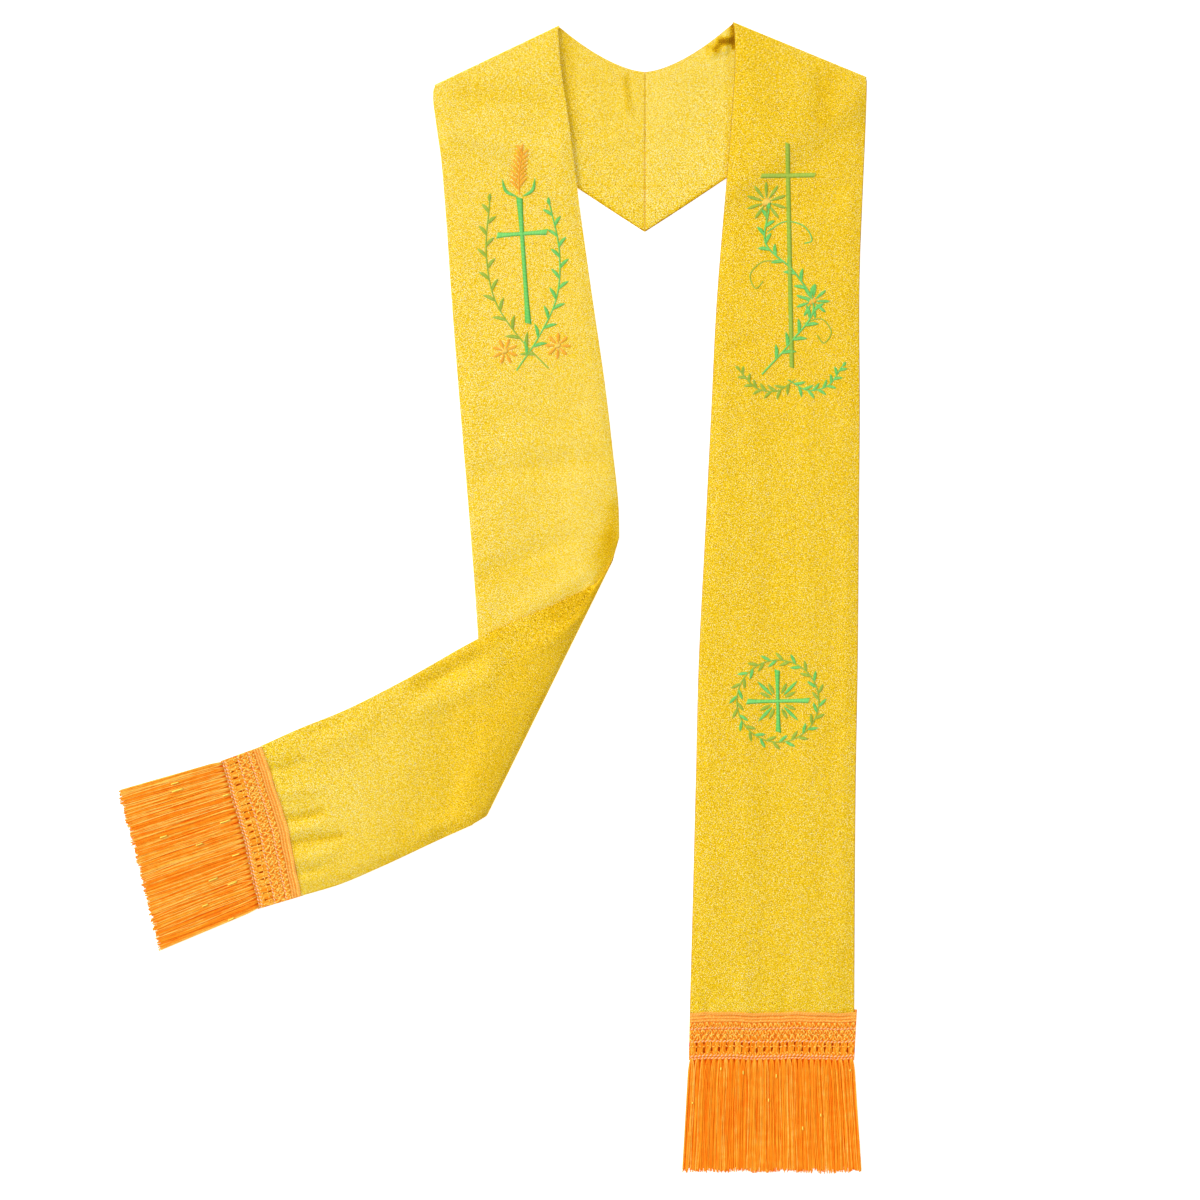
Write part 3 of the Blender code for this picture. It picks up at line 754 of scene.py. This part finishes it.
def braid_yarns(side):
    """Twisted chains, the looped rows and the ladder's wrapped bars."""
    width = np.linalg.norm(np.subtract(BRAID[side][1], BRAID[side][0]))
    wander = np.random.default_rng(31 + side)
    paths, sizes, tones, slots = [], [], [], []
    travel = np.linspace(END_CLEAR, width - END_CLEAR, round(width / YARN_STEP))
    wave = row_wave(side, travel)
    tree = ground_tree(cloths[side])
    on_cloth = to_world(braid_path(side, travel / width, -1.2, 0.0), side)
    cloth_top = np.array([ground_height(tree, x, y, 2.2 * MM) for x, y, _ in on_cloth]) / MM

    def lay(depth, height, size, tone, slot):
        """Notes one yarn along the braid."""
        path = braid_path(side, travel / width, depth, height)
        paths.append(to_world(path, side))
        sizes.append(size)
        tones.append(tone)
        slots.append(slot)

    for row, (depth, radius, pitch) in enumerate(CHAINS):
        base = cloth_top + LAP_HEIGHT if row < LAPPED else CHAIN_HEIGHT
        for ply in (0, 1):
            turn = 2 * math.pi * travel / pitch + ply * math.pi
            lay(depth + wave + radius * np.cos(turn), base + 0.5 * radius * np.sin(turn),
                2 * radius, (0.45, 0.85)[ply], 2 if row < PLAIN_CHAINS else 1 - ply)
    for row, (start, end, count, pitch) in enumerate(LOOPED):
        for k in range(count):
            turn = 2 * math.pi * (travel / (pitch * (1.0 + 0.11 * k)) + k / count)
            turn = turn + 0.9 * np.sin(travel / 5.3 + 2.0 * k + row)
            swing = (0.9 - 0.12 * (k % 3)) * (end - start) / 2
            lay((start + end) / 2 + 0.6 * wave + swing * np.sin(turn + 0.4 * np.cos(turn)),
                LOOP_HEIGHT + 0.5 * np.cos(2 * turn + k), LOOP_YARN,
                (0.25, 0.85, 0.5, 0.95)[k], 1)
    for bar in range(LADDER_BARS):
        for wrap in range(WRAPS):
            station = np.linspace(0.0, 1.0, 9)
            offset = (wrap - (WRAPS - 1) / 2) * WRAP_STEP
            swell = 1.0 - 0.12 * np.sin(math.pi * station)
            at = (bar + 0.5) * width / LADDER_BARS + offset * swell
            at = at + wander.uniform(-0.12, 0.12) + 0.45 * np.sin(8.0 * station + bar + wrap)
            depth = LADDER_BAND[0] - 1.4 + (LADDER_BAND[1] - LADDER_BAND[0] + 2.8) * station
            height = WRAP_HEIGHT + 0.25 * np.sin(math.pi * station * 3 + wrap)
            height = height + wander.uniform(0, 0.2)
            paths.append(to_world(braid_path(side, at / width, depth, height), side))
            sizes.append(WRAP_YARN)
            tones.append(wander.uniform(0.25, 0.72))
            slots.append(1)
    return yarns(WORD[side] + "_braid_yarns", paths, sizes,
                 [chain_yarn, loop_yarn, rib_yarn], np.array(tones) + BRAID_LIGHTER[side],
                 slots)


tapes = both_sides(braid_tape, "orange_braid", "_header")
looped = both_sides(braid_yarns, "orange_braid")

# The fringe hangs from the braid's lower chain in small bunches: soft glossy polyester
# yarns in layers, looped through the chain and cut by hand, so that the tips are uneven.
TIPS = {RIGHT: ((38.0, 1147.5), (217.0, 1148.5)), LEFT: ((524.5, 768.0), (484.5, 928.0))}

# Layers from below: height, thickness, gathering at the root, lightness, looseness. The lower
# layers are painted deeper, a painted shade under the ones above.
FRINGE_LAYERS = ((0.8, 1.5, 0.0, 0.02, 0.12), (1.5, 1.25, 0.8, 0.34, 0.5),
                 (2.15, 1.1, 1.0, 0.54, 1.0), (2.8, 1.0, 1.0, 0.68, 1.0))
FRINGE_LIGHTER, YARN_SPREAD = {RIGHT: 0.05, LEFT: 0.19}, {RIGHT: 0.27, LEFT: 0.36}
SHORTER_BELOW, NARROWER_BELOW = 4.0, 0.02
YARNS_IN_LAYER, BUNCHES, PINCH_LENGTH, PINCH = 176, 29, 8.5, 0.64
YARN_STATIONS, CUT_AT, ROOT_CROWDING, EDGE_SHARE = 11, 0.995, 1.35, 0.025
TUCKED_IN, SETTLING, LIFTS = 1.6, 0.3, 0.12
CUT_UNEVEN, BUNCH_UNEVEN, BUNCH_SWAY, YARN_SWAY, RIPPLE = 2.4, 1.1, 0.9, 1.4, 0.45

fringe_yarn = shiny_yarn("orange_fringe_yarn", (
    (0.05, "#C04402"), (0.22, "#EE6A06"), (0.38, "#FF8612"), (0.58, "#FF981E"),
    (0.74, "#FFAA2E"), (0.92, "#FFCC5E")), roughness=0.55, patches_per_m=150.0)


def fringe(side):
    """Yarns in layers, gathered at the root, opening, swaying and cut to uneven lengths."""
    wander = np.random.default_rng(41 + side)
    tip_inner, tip_outer = np.array(TIPS[side])
    width_line = (tip_outer - tip_inner) / np.linalg.norm(tip_outer - tip_inner)
    bunch_cut = wander.uniform(-BUNCH_UNEVEN, BUNCH_UNEVEN, BUNCHES)
    bunch_sway = wander.uniform(-BUNCH_SWAY, BUNCH_SWAY, BUNCHES)
    station = np.append(np.linspace(0.0, CUT_AT, YARN_STATIONS) ** ROOT_CROWDING, 1.0)
    paths, sizes, tones = [], [], []
    for layer_height, size, gather, tone, loose in FRINGE_LAYERS:
        for k in range(YARNS_IN_LAYER):
            share = (k + 0.5 + loose * wander.uniform(-0.4, 0.4)) / YARNS_IN_LAYER
            share = 0.5 + (share - 0.5) * (1.0 - NARROWER_BELOW * (1.0 - gather))
            bunch = int(share * BUNCHES)
            centre = (bunch + 0.5) / BUNCHES
            root_share = share + PINCH * gather * (centre - share)
            tip_share = share + loose * wander.uniform(-0.5, 0.5) / YARNS_IN_LAYER
            reach = wander.uniform(-CUT_UNEVEN, CUT_UNEVEN) + bunch_cut[bunch]
            reach -= SHORTER_BELOW * (1.0 - gather)
            length = np.linalg.norm(tip_inner - BRAID[side][2]) + reach
            opened = smooth(station * length / PINCH_LENGTH)
            root_line = braid_plan(side, root_share + opened * (share - root_share),
                                   BRAID_DEPTH - TUCKED_IN)
            tip = tip_inner + tip_share * (tip_outer - tip_inner)
            heading = (tip - root_line[-1]) / np.linalg.norm(tip - root_line[-1])
            tip = tip + reach * heading
            plan = root_line + station[:, None] * (tip - root_line)
            sway = loose * (bunch_sway[bunch] + wander.uniform(-YARN_SWAY, YARN_SWAY))
            ripple = loose * RIPPLE * np.sin(9.0 * station + wander.uniform(0.0, 6.3))
            held = smooth(min(share, 1.0 - share) / EDGE_SHARE)
            aside = held * (sway + ripple) * np.sin(math.pi * station)
            plan += aside[:, None] * width_line
            settled = SETTLING * station * layer_height
            height = layer_height + wander.uniform(-0.1, 0.1) - settled
            height = height + LIFTS * np.sin(5.0 * station + k)
            height = np.maximum(height, size / 2 + 0.03)
            paths.append(to_world(np.column_stack([plan, height]), side))
            sizes.append(size * wander.uniform(1.0 - 0.25 * loose, 1.1))
            spread = 0.1 + YARN_SPREAD[side] * loose
            tones.append(tone + FRINGE_LIGHTER[side] + wander.uniform(-spread, spread))
    return yarns(WORD[side] + "_fringe_yarns", paths, sizes, [fringe_yarn], np.array(tones))


fringes = both_sides(fringe, "orange_thread", "_fringe")

# A few strips of flat gold tinsel, a metal-coated film, are spun in with the fringe's yarns and
# come to the top here and there; their colour is a pale bright yellow, a painted glint.
TINSEL, TINSEL_LENGTH = {RIGHT: 8, LEFT: 11}, {RIGHT: 3.6, LEFT: 11.0}
TINSEL_WIDTH, TINSEL_HEIGHT, FRINGE_LENGTH = 1.1, 3.55, 100.0
tinsel_painted_glint, _, _ = new_material(
    "gold_tinsel_film", Base_Color=linear("#FFF66A"), Roughness=0.35,
    Specular_Tint=linear("#FFF878"))


def tinsel(side):
    """Short glints here and there on the fringe, in line with its yarns."""
    wander = np.random.default_rng(53 + side)
    paths = []
    tip_inner, tip_outer = np.array(TIPS[side])
    for k in range(TINSEL[side]):
        share, start = (k + wander.uniform(0.1, 0.9)) / TINSEL[side], wander.uniform(0.0, 0.8)
        root = braid_plan(side, share, BRAID_DEPTH)
        line = tip_inner + share * (tip_outer - tip_inner) - root
        line = line / np.linalg.norm(line)
        reach = TINSEL_LENGTH[side] * wander.uniform(0.4, 1.0)
        distance = start * FRINGE_LENGTH + np.linspace(0.0, reach, 5)
        plan = root + distance[:, None] * line
        height = TINSEL_HEIGHT - 0.5 * start + 0.15 * np.sin(np.linspace(0.0, math.pi, 5))
        paths.append(to_world(np.column_stack([plan, height]), side))
    return yarns(WORD[side] + "_tinsel", paths, TINSEL_WIDTH, [tinsel_painted_glint],
                 np.full(len(paths), 0.5))


glints = both_sides(tinsel, "orange_thread")

# A row of lockstitch in gold polyester sewing thread runs along each hem, just above the
# braid, and catches the braid's tucked edge through both layers of the hem.
STITCH_PITCH, STITCH_LENGTH, HEM_THREAD = 3.2, 2.3, 0.44
ABOVE_BRAID, STITCH_ARCH, STITCH_SUNK = 2.6, 0.16, 0.04
sewing_thread, _, _ = new_material(
    "gold_sewing_thread", Base_Color=linear("#EAB82E"), Roughness=0.5)


def hem_stitches(side):
    """Short arched stitches that lie on the cloth."""
    width = np.linalg.norm(np.subtract(BRAID[side][1], BRAID[side][0]))
    tree = ground_tree(cloths[side])
    paths = []
    for start in np.arange(4.0, width - 6.0, STITCH_PITCH):
        share = (start + np.linspace(0.0, STITCH_LENGTH, 5)) / width
        places = to_world(braid_path(side, share, -ABOVE_BRAID, 0.0), side)
        arch = STITCH_ARCH * np.sin(np.linspace(0.0, math.pi, 5)) - STITCH_SUNK
        for place, rise in zip(places, arch):
            place[2] = ground_height(tree, place[0], place[1], 2.0 * MM) + rise * MM
        paths.append(places)
    return yarns(WORD[side] + "_hem_stitches", paths, HEM_THREAD, [sewing_thread],
                 np.full(len(paths), 0.5))


hems = both_sides(hem_stitches, "gold_lame")

# The centre-back seam joins the two halves: pressed open, with a deep gold thread in the
# groove, lying in stitches of one length from the neck's edge to the point of the back.
SEAM_THREAD, SEAM_STITCH, BESIDE_SEAM = 0.8, 2.4, 0.9
seam_thread, _, _ = new_material(
    "deep_gold_seam_thread", Base_Color=linear("#E8A81E"), Roughness=0.7)
seam_grounds = {side: ground_tree(cloths[side]) for side in (RIGHT, LEFT)}
seam_paths = []
for start in np.arange(NECK_DEPTH + 0.8, BACK_POINT_DOWN - SEAM_STITCH, SEAM_STITCH):
    down = start + np.linspace(0.0, SEAM_STITCH * 0.96, 5)
    places = to_world(np.column_stack([np.zeros(5), down, np.zeros(5)]), RIGHT)
    for place in places:
        beside = [ground_height(seam_grounds[side], place[0] + side * BESIDE_SEAM * MM,
                                place[1], 1.7 * MM) for side in (RIGHT, LEFT)]
        place[2] = max(beside) + (0.08 - SEAM_THREAD / 2) * MM
    seam_paths.append(places)
back_seam = yarns("centre_back_seam", seam_paths, SEAM_THREAD, [seam_thread],
                  np.full(len(seam_paths), 0.5))
attach(back_seam, "gold_lame")

# The embroidery is machine satin stitch in glossy rayon thread, green, olive and orange,
# over both legs: plain crosses, leaf sprays and blossoms, each stroke domed on the cloth.
SATIN_STEP, SATIN_RIDGE, SATIN_RISE, SATIN_NARROWEST = 0.6, 0.12, 0.75, 0.25
SATIN_THICKNESS, SATIN_SUNK, LAP_STEP, LAP_LEVELS = 0.25, 0.06, 0.03, 5
SATIN_ACROSS = (1.0, 0.74, 0.4, 0.0, -0.4, -0.74, -1.0)
SATIN_ARCH = (0.0, 0.68, 0.95, 1.0, 0.95, 0.68, 0.0)
# Across each column the sides are painted deeper and the crown paler, a painted shade on the
# dome.
SATIN_PAINTED_SHADE = (-0.6, -0.12, 0.06, 0.12, 0.06, -0.12, -0.6)
VEINED_ARCH = (0.0, 0.75, 0.95, 0.25, 0.95, 0.75, 0.0)


def satin_thread(name, dark, light):
    """Rayon floats shine, so neighbouring stitches differ in depth: a sheen painted in the
    tone.
    """
    look, tree, shader = new_material(
        name, Roughness=0.42, Specular_IOR_Level=0.4, Specular_Tint=linear(light))
    stitch = add_node(tree, "ShaderNodeAttribute", attribute_name="stitch").outputs["Fac"]
    place = add_node(tree, "ShaderNodeTexCoord").outputs["Object"]
    grain = add_node(tree, "ShaderNodeTexNoise", {"Vector": place, "Scale": 500.0})
    mixed = add_node(
        tree, "ShaderNodeMix", {"Factor": 0.4, "A": stitch, "B": grain.outputs["Fac"]},
        data_type="FLOAT")
    add_node(tree, "ShaderNodeValToRGB", {"Fac": mixed.outputs["Result"]},
             stops=((0.15, dark), (0.8, light)), feeds=shader.inputs["Base Color"])
    return look


THREADS = {
    "green": satin_thread("green_rayon", "#38AA42", "#98EE84"),
    "olive": satin_thread("olive_rayon", "#789C26", "#BCD65C"),
    "orange": satin_thread("orange_rayon", "#FA9616", "#FFC850"),
    "gold": satin_thread("gold_rayon", "#D89810", "#FFE070"),
}


def satin(points, width, colour, taper="even", veined=False):
    """One column of satin stitch along a path: flat places, rises and colour."""
    length = np.sum(np.linalg.norm(np.diff(np.array(points, float), axis=0), axis=1))
    count = max(4, 2 * round(length / SATIN_STEP / 2))
    share = np.linspace(0.0, 1.0, count)
    path = curve_point(points, share)
    half = {
        "even": np.ones(count),
        "leaf": np.sin(math.pi * share**0.85) ** 0.75,
        "petal": np.sin(math.pi * share**1.3) ** 0.6,
        "splay": 0.62 + 0.38 * np.abs(2 * share - 1) ** 3,
    }[taper] * width / 2
    half = np.maximum(half, SATIN_NARROWEST)[:, None]
    tangent = np.gradient(path, axis=0)
    tangent /= np.linalg.norm(tangent, axis=1)[:, None] + 1e-9
    normal = np.column_stack([-tangent[:, 1], tangent[:, 0]])
    spots = np.array(SATIN_ACROSS)[None]
    lean = half * (np.abs(spots) * 0.55 if veined else spots * 0.35)
    flat = path[:, None] + (half * spots)[:, :, None] * normal[:, None]
    flat = flat + lean[:, :, None] * tangent[:, None]
    stitch = np.where(np.arange(count) % 2, 1.0, -1.0)[:, None]
    crown = SATIN_RISE * np.minimum(1.0, half) + SATIN_RIDGE * stitch
    rise = np.array(VEINED_ARCH if veined else SATIN_ARCH)[None] * crown
    # Stitches running side to side are painted paler than those running up and down, a painted
    # sheen, with a slow change of tone along the path.
    painted_sheen = 0.22 * (np.abs(tangent[:, :1]) - 0.5) + 0.1 * np.sin(path @ [2.3, 1.9])[:, None]
    tone = 0.5 + 0.12 * stitch + painted_sheen + np.array(SATIN_PAINTED_SHADE)
    return flat.reshape(-1, 2), rise.ravel(), tone.ravel(), colour


def leaf(base, tip, width, colour, bend=0.0, taper="leaf"):
    """A pointed leaf with a sunken vein, bent to one side."""
    base, tip = np.array(base, float), np.array(tip, float)
    bent = np.array([base[1] - tip[1], tip[0] - base[0]]) * bend
    return satin([base, (base + tip) / 2 + bent, tip], width, colour, taper, veined=True)


def blossom(centre, petals, reach, width, petal_colour, heart_colour, turn=0.0):
    """Petals round a heart."""
    made = []
    for k in range(petals):
        angle = turn + 2 * math.pi * k / petals
        way = np.array([math.sin(angle), math.cos(angle)])
        made.append(leaf(centre + 0.16 * reach * way, centre + reach * way, width,
                         petal_colour, taper="petal"))
    across_heart = np.array([0.22 * reach, 0.0])
    made.append(satin([centre - across_heart, centre + across_heart], 0.44 * reach,
                      heart_colour, "leaf"))
    return made


def spray(points, leaves, leaf_length, leaf_width, colour, stem=1.6):
    """A curved stem with leaves in turn on both sides and one at its tip."""
    made = [satin(points, stem, colour)]
    for k in range(leaves + 1):
        share = 0.10 + 0.90 * k / leaves
        at, ahead = curve_point(points, share), curve_point(points, min(share + 0.02, 1.0))
        if k == leaves:
            ahead = 2 * at - curve_point(points, 0.98)
        way = (ahead - at) / np.linalg.norm(ahead - at)
        aside = np.array([-way[1], way[0]]) * (0.0 if k == leaves else (-1) ** k)
        size = leaf_length * (1.0 - 0.3 * share)
        made.append(leaf(at, at + size * (0.74 * way + 0.67 * aside), leaf_width, colour,
                         bend=-0.07 * (-1) ** k))
    return made


def embroider(name, strokes, middle, turn, cloth):
    """Lays the strokes on the cloth round the motif's middle."""
    tree = ground_tree(cloth)
    spin = np.array([[math.cos(turn), -math.sin(turn)], [math.sin(turn), math.cos(turn)]])
    shape = bmesh.new()
    layer = shape.verts.layers.float.new("stitch")
    columns = len(SATIN_ACROSS)
    for k, (flat, rise, stitch, colour) in enumerate(strokes):
        grid = bmesh.ops.create_grid(
            shape, x_segments=columns - 1, y_segments=len(flat) // columns - 1, size=1.0)
        above = (rise - SATIN_SUNK + LAP_STEP * (k % LAP_LEVELS)) * MM
        for vert, (x, y), up, tone in zip(grid["verts"], flat @ spin.T * MM + middle, above,
                                          stitch):
            vert.co = (x, y, ground_height(tree, x, y, UPPER_LAYER * MM) + up)
            vert[layer] = tone
        for face in {face for vert in grid["verts"] for face in vert.link_faces}:
            face.material_index = list(THREADS).index(colour)
    piece = piece_from(name, shape, THREADS.values(),
                       [("SOLIDIFY", {"thickness": SATIN_THICKNESS * MM, "offset": -1.0})])
    attach(piece, "orange_thread")
    return piece


def place_on(side, out, down):
    """A motif's middle, in metres from above."""
    return to_world([out, down, 0.0], side)[:2]


# The left leg's embroidery, satin stitch in green, olive and orange rayon: a green cross
# under an orange bud, between two leaf sprays that cross below it, with two blossoms.
strokes = spray([(17, -112), (-8, -82), (-31, -42), (-37, 8), (-30, 58)], 15, 16, 3.4, "olive",
                1.4)
strokes += spray([(-15, -112), (8, -82), (30, -42), (36, 4), (30, 50)], 15, 16, 3.4, "green",
                 1.4)
strokes += [satin([(0, -66), (0, 60)], 6.6, "green", "splay")]
strokes += [satin([(-25, 24), (25, 24)], 6.6, "green", "splay")]
strokes += spray([(0, 63), (1, 82), (6, 106)], 15, 15, 2.3, "orange", 1.6)
strokes += [leaf((-2, 61), (-16, 80), 3.2, "green", 0.2)]
strokes += [leaf((3, 61), (17, 78), 3.2, "green", -0.2)]
strokes += blossom(np.array([-25.0, -92.0]), 8, 13, 2.8, "orange", "gold", 0.4)
strokes += blossom(np.array([28.0, -90.0]), 8, 13, 2.8, "orange", "gold", 0.1)
left_motif = embroider("left_leg_embroidery", strokes, place_on(LEFT, 121, 236), 0.07,
                       cloths[LEFT])

# The right leg's upper embroidery, in the same threads: a tall olive cross with a leafy
# green vine and two blossoms across it, thin tendrils, and two sprays below.
strokes = [satin([(2, -100), (2, 124)], 4.6, "olive")]
strokes += [satin([(-25, 92), (29, 92)], 4.6, "olive")]
strokes += spray([(-28, -106), (0, -76), (25, -40), (6, -4), (-22, 26), (-18, 58)], 21, 16, 3.8,
                 "green", 1.8)
strokes += [satin([(14, -56), (33, -52), (42, -66), (34, -76), (28, -68)], 1.2, "olive")]
strokes += [satin([(-4, 6), (-26, 6), (-38, -8), (-32, -20), (-25, -13)], 1.2, "olive")]
strokes += [satin([(-20, 36), (-2, 46), (20, 38), (24, 26), (17, 24)], 1.2, "green")]
strokes += spray([(5, -112), (-14, -123), (-33, -120), (-50, -102)], 12, 12, 3.0, "olive", 1.3)
strokes += spray([(-2, -112), (18, -123), (37, -119), (52, -100)], 12, 12, 3.0, "green", 1.3)
strokes += blossom(np.array([24.0, -34.0]), 9, 17, 3.0, "green", "orange", 0.2)
strokes += blossom(np.array([-20.0, 66.0]), 10, 20, 3.2, "olive", "gold", 0.0)
right_upper_motif = embroider("right_leg_upper_embroidery", strokes,
                              place_on(RIGHT, 143, 246), 0.02, cloths[RIGHT])

# The right leg's lower embroidery, in the same threads: a small green cross with splayed
# ends over twelve leaves, inside a round wreath.
WREATH_LEAVES, WREATH_RADIUS = 40, 41.0
strokes = []
for k in range(4):
    for spread in (-0.32, 0.0, 0.32):
        angle = (k + 0.5) * math.pi / 2 + spread
        way = np.array([math.cos(angle), math.sin(angle)])
        reach = 20 if spread else 28
        strokes.append(leaf(8 * way, reach * way, 3.4, "olive" if spread else "green"))
strokes += [satin([(0, -31), (0, 31)], 5.6, "green", "splay")]
strokes += [satin([(-31, 0), (31, 0)], 5.6, "green", "splay")]
turns = np.linspace(0.0, 2 * math.pi, WREATH_LEAVES + 1)
wreath = WREATH_RADIUS * np.column_stack([np.cos(turns), np.sin(turns)])
strokes.append(satin(wreath, 1.3, "olive"))
for k, angle in enumerate(turns[:-1]):
    way = np.array([-math.sin(angle), math.cos(angle)])
    aside = np.array([math.cos(angle), math.sin(angle)]) * (1 if k % 2 else -1)
    strokes.append(leaf(wreath[k], wreath[k] + 11 * (0.8 * way + 0.6 * aside), 3.2,
                        "olive" if k % 4 < 2 else "green"))
right_lower_motif = embroider("right_leg_lower_embroidery", strokes,
                              place_on(RIGHT, 133, 679), 0.02, cloths[RIGHT])

# The stole lies on a sheet of matt white paper, in a white room with one wide light from
# the upper left and a weak one from above, so that its shadows are short and soft.
PAPER_SIZE, PAPER_GLOW, ROOM_LIGHT = 14.0, 0.6, 0.6
paper_look, _, _ = new_material(
    "matt_white_paper", Base_Color=linear("#F2F2F2"), Roughness=0.9,
    Emission_Color=(1.0, 1.0, 1.0, 1.0), Emission_Strength=PAPER_GLOW)
shape = bmesh.new()
bmesh.ops.create_grid(shape, x_segments=1, y_segments=1, size=PAPER_SIZE / 2)
paper = piece_from("white_paper", shape, [paper_look])

scene = bpy.context.scene
scene.view_settings.view_transform = "Standard"
room = bpy.data.worlds.new("soft_room")
room.use_nodes = True
room.node_tree.nodes["Background"].inputs["Color"].default_value = (1.0, 1.0, 1.0, 1.0)
room.node_tree.nodes["Background"].inputs["Strength"].default_value = ROOM_LIGHT
scene.world = room


def soft_sun(name, bearing, elevation, width, strength):
    """A wide even light from this bearing, clockwise from the top, in degrees."""
    data = bpy.data.lights.new(name, "SUN")
    data.angle = math.radians(width)
    data.energy = strength
    light = bpy.data.objects.new(name, data)
    light.rotation_euler = (0.0, math.radians(90.0 - elevation), math.radians(90.0 - bearing))
    scene.collection.objects.link(light)


soft_sun("window", -62.0, 24.0, 16.0, 2.6)
soft_sun("ceiling", 20.0, 80.0, 40.0, 0.35)

# The camera looks straight down on the middle of the photo, whose 1200 pixels show 1.2 m
# of the paper, so that a millimetre of the stole is a pixel.
PHOTO_SPAN, CAMERA_HEIGHT, SENSOR = 1.2, 3.0, 36.0
MIDDLE_OUT, MIDDLE_DOWN = -44.7, 578.0
camera_data = bpy.data.cameras.new("photo_camera")
camera_data.sensor_width = SENSOR
camera_data.lens = SENSOR * CAMERA_HEIGHT / PHOTO_SPAN
camera = bpy.data.objects.new("photo_camera", camera_data)
camera.location = ((SEAM_X + MIDDLE_OUT) * MM, (NECK_Y - MIDDLE_DOWN) * MM, CAMERA_HEIGHT)
scene.collection.objects.link(camera)
scene.camera = camera
